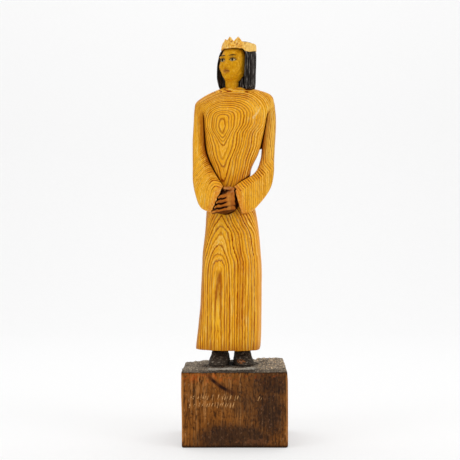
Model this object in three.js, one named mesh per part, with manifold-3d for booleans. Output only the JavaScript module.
// A standing folk carving of a crowned woman in a long gown, hands clasped in front,
// cut with its block from one length of pine.
// Millimetres, +Z up. The origin is the middle of the block's underside; the figure faces -Y.
// "Left" and "right" below are the viewer's, looking at the front.

import * as THREE from "three";
import { mergeVertices } from "three/addons/utils/BufferGeometryUtils.js";
import Module from "manifold-3d";

const wasm = await Module();
wasm.setup();

// ---------------------------------------------------------------- driving dimensions

const TOTAL_HEIGHT = 449.5; // underside of the block to the highest crown point

// the block
const BLOCK_WIDTH = 115.4; // across the front face
const BLOCK_DEPTH = 115.0;
const BLOCK_HEIGHT = 83.0;
const BLOCK_CORNER = 3.6; // rounding of the upright edges
const BLOCK_FOOT_ROUND = 2.6; // rounding round the underside
const BLOCK_TOP_WEAR = 1.5; // worn arris round the top
const BLOCK_TOP_TAPER = 0.8; // each side leans in this much at the top
const LEDGE = { left: -30, right: 26, front: -38, back: 30, rise: 1.3 }; // ground left standing round the shoes

// the gown: outline in the front view (left, right), and how far it reaches to the front and back
const GOWN = [
  { at: "hem", z: 101.6, left: -43.4, right: 28.6, front: -28.5, back: 29.5, square: 2.5 },
  { at: "above hem", z: 106.0, left: -43.1, right: 29.5, front: -29.2, back: 30.0, square: 2.5 },
  { at: "shin", z: 126.0, left: -40.8, right: 30.5, front: -29.0, back: 29.2, square: 2.45 },
  { at: "knee", z: 153.0, left: -38.2, right: 31.0, front: -28.9, back: 28.4, square: 2.4 },
  { at: "thigh", z: 181.0, left: -37.0, right: 31.1, front: -28.5, back: 27.8, square: 2.35 },
  { at: "hip", z: 208.0, left: -35.9, right: 29.8, front: -26.4, back: 27.6, square: 2.3 },
  { at: "seat", z: 235.0, left: -33.0, right: 27.3, front: -22.3, back: 26.6, square: 2.25 },
  { at: "belt", z: 255.0, left: -31.6, right: 24.4, front: -19.4, back: 23.4, square: 2.2 },
  { at: "waist", z: 286.0, left: -25.4, right: 17.7, front: -17.0, back: 17.2, square: 2.15 },
  { at: "ribs", z: 300.0, left: -25.4, right: 18.6, front: -17.9, back: 16.6, square: 2.2 },
  { at: "under breast", z: 322.5, left: -31.2, right: 27.5, front: -21.6, back: 18.0, square: 2.5 },
  { at: "breast", z: 345.0, left: -33.6, right: 33.2, front: -24.6, back: 20.5, square: 2.8 },
  { at: "armhole", z: 362.0, left: -36.0, right: 37.2, front: -23.4, back: 22.0, square: 2.5 },
  { at: "shoulder point", z: 376.6, left: -41.6, right: 42.9, front: -18.6, back: 22.0, square: 1.8 },
  { at: "shoulder slope", z: 383.4, left: -37.4, right: 43.4, front: -14.8, back: 20.6, square: 1.75 },
  { at: "collar slope", z: 388.4, left: -30.2, right: 40.4, front: -12.0, back: 18.6, square: 1.8 },
  { at: "collar", z: 392.4, left: -21.6, right: 29.6, front: -9.8, back: 16.4, square: 2.0 },
  { at: "neck foot", z: 395.2, left: -14.2, right: 16.4, front: -8.2, back: 13.5, square: 2.0 },
];
const GOWN_STEP = 9; // spacing of the gown's cross sections
const GOWN_SIDES = 40;
const BREAST = { rise: 4.2, wide: 12.5, high: 21, z: 350, left: -13.5, right: 18.0 };

// the sleeves: the inner and outer edge in the front view, the depth of the middle, half the thickness
const SLEEVE_LEFT = [
  { at: "shoulder", inner: [-20.0, 376.0], outer: [-40.4, 381.4], y: 3.0, half: 9.0 },
  { at: "shoulder round", inner: [-23.5, 366.0], outer: [-44.9, 373.0], y: 3.2, half: 11.0 },
  { at: "upper arm", inner: [-28.0, 352.0], outer: [-46.1, 355.5], y: 3.0, half: 11.0 },
  { at: "above elbow", inner: [-31.0, 336.0], outer: [-47.0, 337.0], y: 2.4, half: 10.6 },
  { at: "elbow", inner: [-31.0, 326.5], outer: [-47.2, 320.5], y: 1.2, half: 10.8 },
  { at: "crook", inner: [-28.8, 317.0], outer: [-46.6, 302.5], y: -0.8, half: 11.0 },
  { at: "forearm", inner: [-25.4, 307.0], outer: [-45.5, 286.8], y: -4.6, half: 11.0 },
  { at: "mid forearm", inner: [-21.0, 297.0], outer: [-42.7, 273.0], y: -10.0, half: 11.0 },
  { at: "bell", inner: [-17.2, 290.6], outer: [-37.2, 259.8], y: -16.2, half: 11.0 },
  { at: "cuff", inner: [-12.9, 284.0], outer: [-25.8, 254.2], y: -23.0, half: 10.4 },
];
const SLEEVE_RIGHT = [
  { at: "shoulder", inner: [22.0, 377.0], outer: [41.4, 383.0], y: 3.0, half: 9.0 },
  { at: "shoulder round", inner: [26.0, 366.0], outer: [45.9, 373.0], y: 3.2, half: 11.0 },
  { at: "upper arm", inner: [29.4, 352.0], outer: [47.0, 356.0], y: 3.0, half: 11.0 },
  { at: "above elbow", inner: [30.8, 334.0], outer: [46.0, 334.0], y: 2.4, half: 10.6 },
  { at: "elbow", inner: [30.7, 322.5], outer: [45.1, 315.5], y: 1.2, half: 10.8 },
  { at: "crook", inner: [29.7, 314.5], outer: [44.3, 298.5], y: -0.6, half: 11.0 },
  { at: "forearm", inner: [26.9, 305.0], outer: [40.9, 284.4], y: -3.6, half: 11.0 },
  { at: "mid forearm", inner: [22.1, 298.4], outer: [34.5, 272.8], y: -8.0, half: 11.0 },
  { at: "bell", inner: [14.2, 292.8], outer: [26.3, 262.7], y: -13.6, half: 11.0 },
  { at: "bell mouth", inner: [7.6, 288.9], outer: [18.2, 255.2], y: -18.8, half: 11.0 },
  { at: "cuff", inner: [0.6, 282.7], outer: [8.7, 253.2], y: -23.0, half: 10.4 },
];
const SLEEVE_SIDES = 20;

// the wood left between arm and body behind the grooves (the right side is open below `foot`)
const WEB_LEFT = { inner: -22, outer: -38, front: 1.0, back: 9.0, foot: 291, head: 372 };
const WEB_RIGHT = { inner: 24, outer: 38, front: 1.0, back: 9.0, foot: 326.5, head: 372 };

// the clasped hands
const HANDS = { x: -8.6, y: -22.0, z: 268.5, wide: 14.5, deep: 13.6, high: 14.6 };
const UPPER_HAND = { x: -1.6, y: -31.0, z: 271.6, wide: 9.6, deep: 6.6, high: 10.6 };
const THUMB = { from: [3.5, -33.0, 279.8], to: [-9.5, -34.0, 281.0], thick: 3.0 };
const FINGERS = 4;
const FINGER = { knuckleX: -5.2, tipX: -19.4, y: -35.0, topZ: 273.4, pitch: 4.6, droop: 3.4, thick: 2.75 };

// the head, turned to the left and tipped a little back
const HEAD = { x: 1.4, y: 0.4, z: 422.0, wide: 16.0, deep: 19.6, high: 22.4, turn: 32, tip: 7 };
const JAW = { forward: 4.2, down: 9.0, wide: 12.6, deep: 14.6, high: 13.0 };
const NOSE = { length: 11.0, wide: 2.9, rise: 4.0, top: 2.5 };
const NECK = { x: -1.2, y: 0.6, wide: 8.4, deep: 9.4, foot: 386, head: 410 };

// hair that hangs straight to the shoulders, open over the face
const HAIR = [
  { at: "ends", z: 393.2, x: 3.4, wide: 19.2, deep: 19.8 },
  { at: "lower", z: 398.0, x: 3.0, wide: 20.8, deep: 21.0 },
  { at: "middle", z: 408.0, x: 2.3, wide: 21.8, deep: 22.0 },
  { at: "cheek", z: 419.0, x: 2.6, wide: 21.7, deep: 22.2 },
  { at: "temple", z: 430.0, x: 3.6, wide: 20.9, deep: 21.9 },
  { at: "brow", z: 437.0, x: 4.6, wide: 19.5, deep: 20.6 },
  { at: "dome", z: 443.2, x: 5.4, wide: 17.0, deep: 17.8 },
  { at: "crown of head", z: 448.0, x: 6.6, wide: 9.6, deep: 9.8 },
];
const HAIR_Y = 2.2;
const HAIR_STRANDS = 34;
const HAIR_STRAND_DEPTH = 0.55;
const FACE_OPENING = { half: 15.4, from: 9.5, foot: 380, head: 441 };

// the crown: a flush band with points over the brow only
const CROWN = { x: 4.9, y: 1.6, outer: 19.6, wall: 3.0, foot: 436.6, rim: 444.4, tipRight: 0.045, tipBack: 0.06, lower: 1.9 };
const CROWN_POINTS = [
  { turn: -55, rise: 3.0, wide: 12 },
  { turn: -35, rise: TOTAL_HEIGHT - 445.87, wide: 15 },
  { turn: -5, rise: 3.7, wide: 13 },
];

// the shoes
const SHOES = [
  { x: -15.9, toeX: -17.6, heelX: -15.6 },
  { x: 9.0, toeX: 10.4, heelX: 8.6 },
];
const SHOE = { toe: -23.5, heel: 22.0, ball: 11.4, waist: 9.2, heelHalf: 9.0, high: 12.5, ankleHalf: 9.2, ankleDeep: 10.5, ankleY: 4.0 };

// ---------------------------------------------------------------- helpers

const rad = (deg) => (deg * Math.PI) / 180;
const power = (v, p) => Math.sign(v) * Math.abs(v) ** p;

// a smooth curve through a table's rows: the value of `key` at height z
function along(table, key, z) {
  const n = table.length;
  let i = 0;
  while (i < n - 2 && z > table[i + 1].z) i++;
  const [a, b] = [table[i], table[i + 1]];
  const slope = (p, q) => (q[key] - p[key]) / (q.z - p.z);
  const mid = slope(a, b);
  const tangent = (p, q, r) => {
    const [s, t] = [slope(p, q), slope(q, r)];
    return s * t <= 0 ? 0 : (2 * s * t) / (s + t);
  };
  const ma = i > 0 ? tangent(table[i - 1], a, b) : mid;
  const mb = i < n - 2 ? tangent(a, b, table[i + 2]) : mid;
  const h = b.z - a.z;
  const t = Math.min(1, Math.max(0, (z - a.z) / h));
  return (
    a[key] * (1 + 2 * t) * (1 - t) ** 2 +
    ma * h * t * (1 - t) ** 2 +
    b[key] * t * t * (3 - 2 * t) -
    mb * h * t * t * (1 - t)
  );
}

// a closed skin over rings of points, each ring anticlockwise as seen from the last ring
function skin(rings) {
  const count = rings[0].length;
  const points = [];
  for (const ring of rings) for (const p of ring) points.push(p.x, p.y, p.z);
  const faces = [];
  for (let i = 0; i < rings.length - 1; i++)
    for (let j = 0; j < count; j++) {
      const k = (j + 1) % count;
      const [a, b, c, d] = [i * count + j, i * count + k, (i + 1) * count + k, (i + 1) * count + j];
      faces.push(a, b, c, a, c, d);
    }
  for (const [ring, base, flip] of [
    [rings[0], 0, true],
    [rings.at(-1), (rings.length - 1) * count, false],
  ]) {
    const middle = ring.reduce((s, p) => s.add(p), new THREE.Vector3()).divideScalar(count);
    const at = points.length / 3;
    points.push(middle.x, middle.y, middle.z);
    for (let j = 0; j < count; j++) {
      const k = (j + 1) % count;
      faces.push(...(flip ? [base + k, base + j, at] : [base + j, base + k, at]));
    }
  }
  const g = new THREE.BufferGeometry();
  g.setAttribute("position", new THREE.Float32BufferAttribute(points, 3));
  g.setIndex(faces);
  return g;
}

function solid(geometry) {
  const g = geometry.clone();
  g.deleteAttribute("normal");
  g.deleteAttribute("uv");
  const merged = mergeVertices(g, 1e-4);
  return new wasm.Manifold(
    new wasm.Mesh({
      numProp: 3,
      vertProperties: new Float32Array(merged.attributes.position.array),
      triVerts: new Uint32Array(merged.index.array),
    }),
  );
}

function join(parts) {
  return parts.slice(1).reduce((s, p) => s.add(p), parts[0]);
}

// an egg: a sphere stretched, turned and placed
function egg(wide, deep, high, place, detail = 18) {
  const g = new THREE.SphereGeometry(1, detail, Math.round(detail * 0.7));
  g.rotateX(Math.PI / 2);
  g.scale(wide, deep, high);
  g.applyMatrix4(place);
  return solid(g);
}

function placed(x, y, z, turn = 0, tip = 0) {
  return new THREE.Matrix4()
    .makeTranslation(x, y, z)
    .multiply(new THREE.Matrix4().makeRotationZ(rad(turn)))
    .multiply(new THREE.Matrix4().makeRotationX(rad(tip)));
}

// a round-ended bar between two points
function bar(from, to, thick, taper = 1, sides = 10) {
  const [a, b] = [new THREE.Vector3(...from), new THREE.Vector3(...to)];
  const axis = b.clone().sub(a);
  const length = axis.length();
  axis.normalize();
  const side = new THREE.Vector3(0, 0, 1).cross(axis);
  if (side.length() < 1e-3) side.set(1, 0, 0);
  side.normalize();
  const up = axis.clone().cross(side);
  const rings = [];
  const steps = [
    [-0.9, 0.44], [-0.6, 0.8], [0, 1], [null, 1], [0.6, 0.8], [0.9, 0.44],
  ];
  steps.forEach(([offset, size], i) => {
    const end = i > 2;
    const r = thick * (end ? taper : 1);
    const s = (end ? length : 0) + (offset ?? 0) * r;
    rings.push(
      Array.from({ length: sides }, (_, j) => {
        const t = (2 * Math.PI * j) / sides;
        return a
          .clone()
          .addScaledVector(axis, s)
          .addScaledVector(side, Math.cos(t) * r * size)
          .addScaledVector(up, Math.sin(t) * r * size);
      }),
    );
  });
  return solid(skin(rings));
}

// an upright box of rounded corners whose sides follow a profile of inset against height
function slab(left, right, front, back, corner, profile, perCorner = 4) {
  const rings = profile.map(([z, inset]) => {
    const ring = [];
    const r = Math.max(0.4, corner - inset * 0.5);
    for (const [cx, cy, start] of [
      [right - inset - r, front + inset + r, -90],
      [right - inset - r, back - inset - r, 0],
      [left + inset + r, back - inset - r, 90],
      [left + inset + r, front + inset + r, 180],
    ])
      for (let i = 0; i <= perCorner; i++) {
        const t = rad(start + (90 * i) / perCorner);
        ring.push(new THREE.Vector3(cx + r * Math.cos(t), cy + r * Math.sin(t), z));
      }
    return ring;
  });
  return solid(skin(rings));
}

// ---------------------------------------------------------------- the block

function block() {
  const [w, d] = [BLOCK_WIDTH / 2, BLOCK_DEPTH / 2];
  const f = BLOCK_FOOT_ROUND;
  const profile = [
    [0, f * 0.92],
    [f * 0.3, f * 0.28],
    [f, 0],
    [BLOCK_HEIGHT - BLOCK_TOP_WEAR * 1.2, BLOCK_TOP_TAPER],
    [BLOCK_HEIGHT - BLOCK_TOP_WEAR * 0.35, BLOCK_TOP_TAPER + BLOCK_TOP_WEAR * 0.35],
    [BLOCK_HEIGHT, BLOCK_TOP_TAPER + BLOCK_TOP_WEAR],
  ];
  const body = slab(-w, w, -d, d, BLOCK_CORNER, profile);
  const ledge = slab(LEDGE.left, LEDGE.right, LEDGE.front, LEDGE.back, 9, [
    [BLOCK_HEIGHT - 6, 0],
    [BLOCK_HEIGHT, 0],
    [BLOCK_HEIGHT + LEDGE.rise, 3],
  ]);
  return body.add(ledge);
}

// ---------------------------------------------------------------- the gown

// how far the breasts push the front out at a point of the front view
function bust(x, z) {
  const bump = (cx) => {
    const q = ((x - cx) / BREAST.wide) ** 2 + ((z - BREAST.z) / BREAST.high) ** 2;
    return BREAST.rise * Math.exp(-q);
  };
  return bump(BREAST.left) + bump(BREAST.right);
}

function gownRing(z) {
  const v = (key) => along(GOWN, key, z);
  const [left, right, front, back, square] = ["left", "right", "front", "back", "square"].map(v);
  const cx = (left + right) / 2;
  const cy = (front + back) / 2 + 1.5;
  const a = (right - left) / 2;
  return Array.from({ length: GOWN_SIDES }, (_, j) => {
    const t = (2 * Math.PI * j) / GOWN_SIDES;
    const x = cx + a * power(Math.cos(t), 2 / square);
    const s = power(Math.sin(t), 2 / square);
    const y = s < 0 ? cy + (cy - front) * s - bust(x, z) * Math.min(1, -2 * s) : cy + (back - cy) * s;
    return new THREE.Vector3(x, y, z);
  });
}

function gown() {
  const [foot, head] = [GOWN[0].z, GOWN.at(-1).z];
  const levels = new Set([foot, head, GOWN[1].z]);
  for (let z = GOWN[1].z + GOWN_STEP; z < 366; z += GOWN_STEP) levels.add(z);
  for (const row of GOWN.slice(-6)) levels.add(row.z);
  levels.add(371).add(380.2).add(390.6);
  return solid(skin([...levels].sort((a, b) => a - b).map(gownRing)));
}

// ---------------------------------------------------------------- the sleeves

function sleeve(rows, mirrored) {
  const middle = rows.map(
    (r) => new THREE.Vector3((r.inner[0] + r.outer[0]) / 2, r.y, (r.inner[1] + r.outer[1]) / 2),
  );
  const rings = rows.map((r, i) => {
    const forward = middle[Math.min(i + 1, rows.length - 1)].clone().sub(middle[Math.max(i - 1, 0)]).normalize();
    const across = new THREE.Vector3(r.outer[0] - r.inner[0], 0, r.outer[1] - r.inner[1]).multiplyScalar(0.5);
    const through = across.clone().cross(forward).normalize();
    if (through.y > 0) through.negate();
    return Array.from({ length: SLEEVE_SIDES }, (_, j) => {
      const t = (2 * Math.PI * j) / SLEEVE_SIDES;
      return middle[i]
        .clone()
        .addScaledVector(across, power(Math.cos(t), 2 / 2.35))
        .addScaledVector(through, r.half * power(Math.sin(t), 2 / 2.35));
    });
  });
  if (mirrored) rings.forEach((ring) => ring.reverse());
  return solid(skin(rings));
}

function web(w) {
  const [left, right] = [Math.min(w.inner, w.outer), Math.max(w.inner, w.outer)];
  return slab(left, right, w.front, w.back, 2, [
    [w.foot, 0],
    [w.head, 0],
  ], 1);
}

// ---------------------------------------------------------------- the hands

function hands() {
  const parts = [
    egg(HANDS.wide, HANDS.deep, HANDS.high, placed(HANDS.x, HANDS.y, HANDS.z), 20),
    egg(UPPER_HAND.wide, UPPER_HAND.deep, UPPER_HAND.high, placed(UPPER_HAND.x, UPPER_HAND.y, UPPER_HAND.z), 16),
    bar(THUMB.from, THUMB.to, THUMB.thick, 0.8, 8),
  ];
  for (let i = 0; i < FINGERS; i++) {
    const z = FINGER.topZ - i * FINGER.pitch;
    const spread = Math.abs(i - 1.3) * 1.1;
    parts.push(
      bar(
        [FINGER.knuckleX + 1.2 - spread * 0.6, FINGER.y + spread * 0.7, z],
        [FINGER.tipX + spread * 0.5 + i * 0.5, FINGER.y + 1.8 + spread * 0.5, z - FINGER.droop],
        FINGER.thick,
        0.85,
        8,
      ),
    );
  }
  return join(parts);
}

// ---------------------------------------------------------------- the head, hair and crown

function face() {
  const head = placed(HEAD.x, HEAD.y, HEAD.z, -HEAD.turn, -HEAD.tip);
  const at = (x, y, z) => head.clone().multiply(new THREE.Matrix4().makeTranslation(x, y, z));
  const skull = egg(HEAD.wide, HEAD.deep, HEAD.high, head, 26);
  const jaw = egg(JAW.wide, JAW.deep, JAW.high, at(0, -JAW.forward, -JAW.down), 22);
  const tip = HEAD.deep;
  const noseShape = new THREE.Shape();
  noseShape.moveTo(3, NOSE.top);
  noseShape.lineTo(3, NOSE.top - NOSE.length - 1);
  noseShape.lineTo(-NOSE.rise * 0.55, NOSE.top - NOSE.length);
  noseShape.lineTo(-NOSE.rise, NOSE.top - NOSE.length + 1.6);
  noseShape.lineTo(0.4, NOSE.top);
  const ridge = new THREE.ExtrudeGeometry(noseShape, { depth: NOSE.wide * 1.5, bevelEnabled: false });
  ridge.translate(0, 0, -NOSE.wide * 0.75);
  ridge.applyMatrix4(
    new THREE.Matrix4().makeBasis(
      new THREE.Vector3(0, 1, 0),
      new THREE.Vector3(0, 0, 1),
      new THREE.Vector3(1, 0, 0),
    ),
  );
  ridge.applyMatrix4(at(0, -tip + 1.2, -1.0));
  return join([skull, jaw, solid(ridge)]);
}

function hair() {
  const sides = HAIR_STRANDS * 2;
  const levels = [];
  for (let i = 0; i < HAIR.length; i++) levels.push(HAIR[i].z);
  levels.push(402.5, 413.5, 424.5);
  levels.sort((a, b) => a - b);
  const rings = levels.map((z) => {
    const [x, wide, deep] = ["x", "wide", "deep"].map((key) => along(HAIR, key, z));
    return Array.from({ length: sides }, (_, j) => {
      const t = (2 * Math.PI * j) / sides;
      const groove = j % 2 && z < 440 ? HAIR_STRAND_DEPTH : 0;
      const p = new THREE.Vector3((wide - groove) * Math.cos(t), (deep - groove) * Math.sin(t), 0);
      p.applyAxisAngle(new THREE.Vector3(0, 0, 1), -rad(HEAD.turn));
      return p.add(new THREE.Vector3(x, HAIR_Y, z));
    });
  });
  const opening = new THREE.BoxGeometry(FACE_OPENING.half * 2, 40, FACE_OPENING.head - FACE_OPENING.foot);
  opening.translate(0, -20 - FACE_OPENING.from, (FACE_OPENING.head + FACE_OPENING.foot) / 2);
  opening.rotateZ(-rad(HEAD.turn));
  opening.translate(2.4, HAIR_Y, 0);
  return solid(skin(rings)).subtract(solid(opening));
}

function crown() {
  const steps = 72;
  const points = [];
  const faces = [];
  for (let i = 0; i < steps; i++) {
    const turn = (360 * i) / steps - 180; // from the front, positive to the right
    let top = CROWN.rim - (turn > 5 && turn < 120 ? CROWN.lower : 0); // lower at the right of its points
    for (const p of CROWN_POINTS) {
      const away = Math.abs(turn - p.turn) / p.wide;
      top = Math.max(top, CROWN.rim + p.rise * Math.max(0, 1 - away));
    }
    const dir = new THREE.Vector2(Math.sin(rad(turn)), -Math.cos(rad(turn)));
    const tip = -(CROWN.tipRight * dir.x + CROWN.tipBack * dir.y) * CROWN.outer; // tipped back and a little to the right
    for (const [r, z] of [
      [CROWN.outer - CROWN.wall, CROWN.foot - 1 + tip],
      [CROWN.outer, CROWN.foot + tip],
      [CROWN.outer, top + tip],
      [CROWN.outer - CROWN.wall, top + tip],
    ])
      points.push(CROWN.x + dir.x * r, CROWN.y + dir.y * r, z);
    const [a, b] = [i * 4, ((i + 1) % steps) * 4];
    for (let k = 0; k < 4; k++) {
      const m = (k + 1) % 4;
      faces.push(a + k, b + k, b + m, a + k, b + m, a + m);
    }
  }
  const g = new THREE.BufferGeometry();
  g.setAttribute("position", new THREE.Float32BufferAttribute(points, 3));
  g.setIndex(faces);
  return solid(g);
}

function neck() {
  const rings = [NECK.foot, NECK.head].map((z) =>
    Array.from({ length: 24 }, (_, j) => {
      const t = (2 * Math.PI * j) / 24;
      return new THREE.Vector3(NECK.x + NECK.wide * Math.cos(t), NECK.y + NECK.deep * Math.sin(t), z);
    }),
  );
  return solid(skin(rings));
}

// ---------------------------------------------------------------- the shoes

function shoe({ x, toeX, heelX }) {
  const sections = 9;
  const rings = [];
  for (let i = 0; i < sections; i++) {
    const s = i / (sections - 1); // heel to toe
    const y = SHOE.heel + (SHOE.toe - SHOE.heel) * s;
    const round = Math.sqrt(Math.max(0.06, 1 - (2 * s - 1) ** 8));
    const half =
      (SHOE.heelHalf + (SHOE.waist - SHOE.heelHalf) * Math.sin(Math.PI * Math.min(1, s * 1.2)) +
        (SHOE.ball - SHOE.heelHalf) * Math.max(0, s - 0.35) * 1.5) * round;
    const high = (SHOE.high + 3 - 7.5 * s ** 1.6) * (0.35 + 0.65 * round);
    const cx = heelX + (toeX - heelX) * s;
    rings.push(
      Array.from({ length: 14 }, (_, j) => {
        const t = (2 * Math.PI * j) / 14;
        const c = power(Math.cos(t), 0.8);
        const d = Math.sin(t);
        return new THREE.Vector3(cx + half * c, y, BLOCK_HEIGHT + 0.6 + (d > 0 ? high * power(d, 0.8) : 3 * d));
      }),
    );
  }
  const upper = solid(skin(rings));
  const ankleRings = [BLOCK_HEIGHT + 3, GOWN[0].z + 6].map((z) =>
    Array.from({ length: 16 }, (_, j) => {
      const t = (2 * Math.PI * j) / 16;
      return new THREE.Vector3(x + SHOE.ankleHalf * Math.cos(t), SHOE.ankleY + SHOE.ankleDeep * Math.sin(t), z);
    }),
  );
  return upper.add(solid(skin(ankleRings)));
}

// ---------------------------------------------------------------- the whole carving

const carving = join([
  block(),
  ...SHOES.map(shoe),
  gown(),
  sleeve(SLEEVE_LEFT, true),
  sleeve(SLEEVE_RIGHT, false),
  web(WEB_LEFT),
  web(WEB_RIGHT),
  hands(),
  neck(),
  face(),
  hair(),
  crown(),
])
  .decompose() // small voids sealed between the pieces joined above are left out
  .filter((shell) => shell.volume() > 0)
  .reduce((a, b) => (a.volume() > b.volume() ? a : b));

function meshOf(manifold, name, material) {
  const made = manifold.getMesh();
  const n = made.numProp;
  const points = new Float32Array(made.numVert * 3);
  for (let i = 0; i < made.numVert; i++) points.set(made.vertProperties.subarray(i * n, i * n + 3), i * 3);
  const g = new THREE.BufferGeometry();
  g.setAttribute("position", new THREE.BufferAttribute(points, 3));
  g.setIndex(new THREE.BufferAttribute(new Uint32Array(made.triVerts), 1));
  g.computeVertexNormals();
  const mesh = new THREE.Mesh(g, material);
  mesh.name = name;
  return mesh;
}

const wood = new THREE.MeshStandardMaterial({ color: 0xd99a2b, roughness: 0.42, metalness: 0 });

const part = new THREE.Group();
part.add(meshOf(carving, "carved_figure", wood));

export default part;
